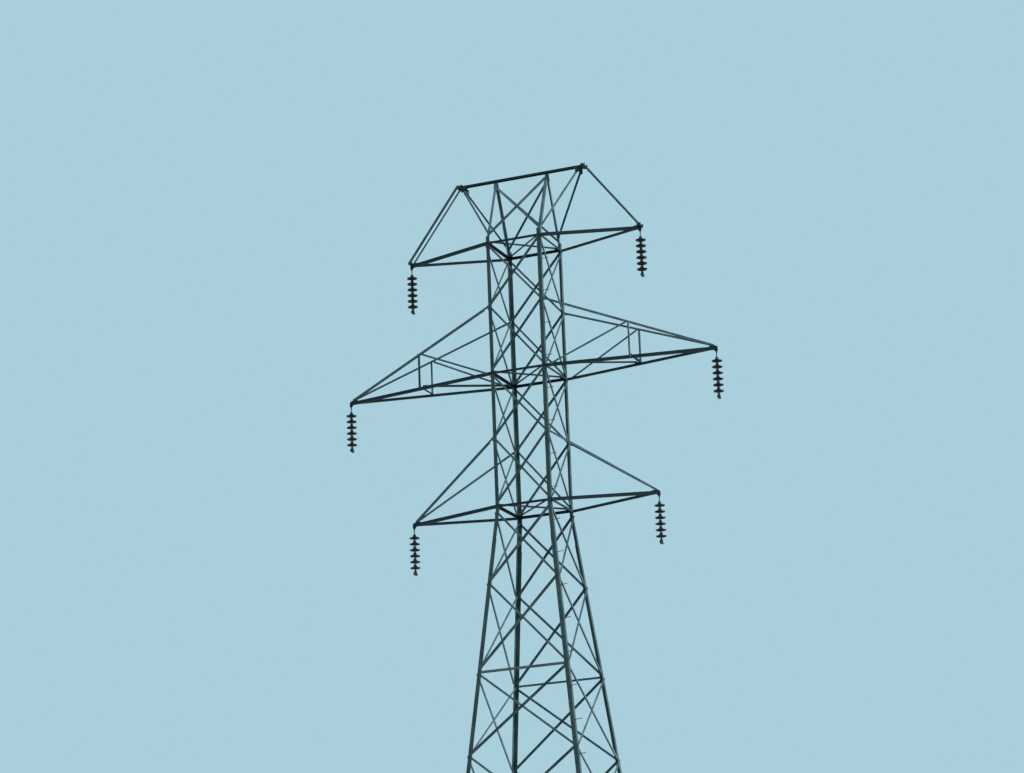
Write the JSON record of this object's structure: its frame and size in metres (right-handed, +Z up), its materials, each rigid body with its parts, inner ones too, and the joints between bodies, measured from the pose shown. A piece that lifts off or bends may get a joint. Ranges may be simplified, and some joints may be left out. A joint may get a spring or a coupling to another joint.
{
  "type": "lattice transmission tower",
  "caption": "Self-supporting lattice steel tower with splayed legs and tiered crossarms that carries power line conductors on hinged strings of porcelain insulators.",
  "frame": {"origin": "centre of the four base plates at ground level", "axes": "+X along the crossarms to the right, +Y along the line to the back, +Z up"},
  "size_m": [9.654, 5.6734, 26.161],
  "materials": {
    "leg_steel": "weathered galvanised",
    "bracing_steel": "weathered galvanised",
    "porcelain": "dark brown glaze",
    "forged_fittings": "weathered galvanised"
  },
  "bodies": {
    "tower": {"foot_front_left": "leg_steel", "foot_front_right": "leg_steel", "foot_back_right": "leg_steel", "foot_back_left": "leg_steel", "leg_front_left": "leg_steel", "leg_front_right": "leg_steel", "leg_back_right": "leg_steel", "leg_back_left": "leg_steel", "lower_bracing_front": "bracing_steel", "lower_bracing_right": "bracing_steel", "lower_bracing_back": "bracing_steel", "lower_bracing_left": "bracing_steel", "upper_bracing_front": "bracing_steel", "upper_bracing_right": "bracing_steel", "upper_bracing_back": "bracing_steel", "upper_bracing_left": "bracing_steel", "plan_bracing": "bracing_steel", "peak_front": "bracing_steel", "peak_back": "bracing_steel", "shield_wire_bar": "bracing_steel", "bar_struts": "bracing_steel", "upper_arm_left_chords": "bracing_steel", "upper_arm_right_chords": "bracing_steel", "upper_arm_left_hangers": "bracing_steel", "upper_arm_right_hangers": "bracing_steel", "middle_arm_left_chords": "bracing_steel", "middle_arm_right_chords": "bracing_steel", "middle_arm_left_trusses": "bracing_steel", "middle_arm_right_trusses": "bracing_steel", "lower_arm_left_chords": "bracing_steel", "lower_arm_right_chords": "bracing_steel", "lower_arm_left_ties": "bracing_steel", "lower_arm_right_ties": "bracing_steel"},
    "upper_left_string": {"upper_left_discs": "porcelain", "upper_left_fittings": "forged_fittings"},
    "upper_right_string": {"upper_right_discs": "porcelain", "upper_right_fittings": "forged_fittings"},
    "middle_left_string": {"middle_left_discs": "porcelain", "middle_left_fittings": "forged_fittings"},
    "middle_right_string": {"middle_right_discs": "porcelain", "middle_right_fittings": "forged_fittings"},
    "lower_left_string": {"lower_left_discs": "porcelain", "lower_left_fittings": "forged_fittings"},
    "lower_right_string": {"lower_right_discs": "porcelain", "lower_right_fittings": "forged_fittings"}
  },
  "joints": [
    {"name": "upper_left_string_swing", "type": "hinge", "parent": "tower", "child": "upper_left_string", "pos_m": [-2.98, 0, 24.235], "axis": [0, 1, 0], "range_deg": [-60, 60]},
    {"name": "upper_right_string_swing", "type": "hinge", "parent": "tower", "child": "upper_right_string", "pos_m": [2.98, 0, 24.235], "axis": [0, 1, 0], "range_deg": [-60, 60]},
    {"name": "middle_left_string_swing", "type": "hinge", "parent": "tower", "child": "middle_left_string", "pos_m": [-4.7, 0, 20.985], "axis": [0, 1, 0], "range_deg": [-60, 60]},
    {"name": "middle_right_string_swing", "type": "hinge", "parent": "tower", "child": "middle_right_string", "pos_m": [4.7, 0, 20.985], "axis": [0, 1, 0], "range_deg": [-60, 60]},
    {"name": "lower_left_string_swing", "type": "hinge", "parent": "tower", "child": "lower_left_string", "pos_m": [-3.11, 0, 17.735], "axis": [0, 1, 0], "range_deg": [-60, 60]},
    {"name": "lower_right_string_swing", "type": "hinge", "parent": "tower", "child": "lower_right_string", "pos_m": [3.11, 0, 17.735], "axis": [0, 1, 0], "range_deg": [-60, 60]}
  ]
}
